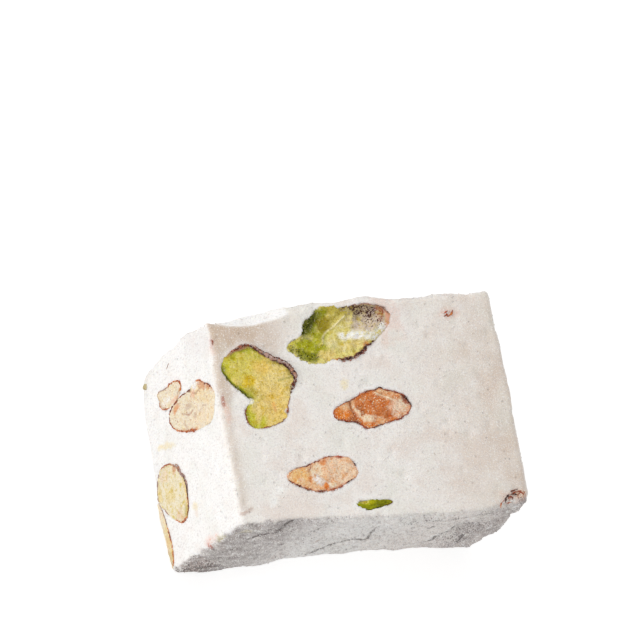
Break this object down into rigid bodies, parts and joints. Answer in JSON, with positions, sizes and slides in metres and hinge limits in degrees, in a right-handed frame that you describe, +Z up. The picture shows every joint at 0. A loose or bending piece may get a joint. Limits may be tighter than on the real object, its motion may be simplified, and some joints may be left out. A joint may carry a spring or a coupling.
{
  "type": "nougat bar",
  "caption": "Hand-cut block of soft white nougat with almond and pistachio kernels cut flush with its faces.",
  "frame": {"origin": "middle of the footprint, on the surface the block lies on", "axes": "+X from the left cut end to the right cut end, +Y from the front outer face to the back one, +Z up"},
  "size_m": [0.0628, 0.0424, 0.0348],
  "materials": {
    "nougat": "matt, powdery white nougat",
    "pistachio": "cut pistachio kernel, yellow-green",
    "almond": "cut roasted almond, tan",
    "blanched_almond": "cut pale almond, cream"
  },
  "bodies": {
    "root": {"nougat": "nougat", "pistachio_kidney": "pistachio", "pistachio_broken": "pistachio", "pistachio_sliver": "pistachio", "pistachio_left": "pistachio", "pistachio_right": "pistachio", "pistachio_base": "pistachio", "almond_middle": "almond", "almond_front": "almond", "almond_right": "almond", "almond_base": "almond", "almond_base_piece": "almond", "almond_left": "blanched_almond", "almond_left_piece": "blanched_almond", "almond_left_edge": "blanched_almond"}
  },
  "joints": []
}
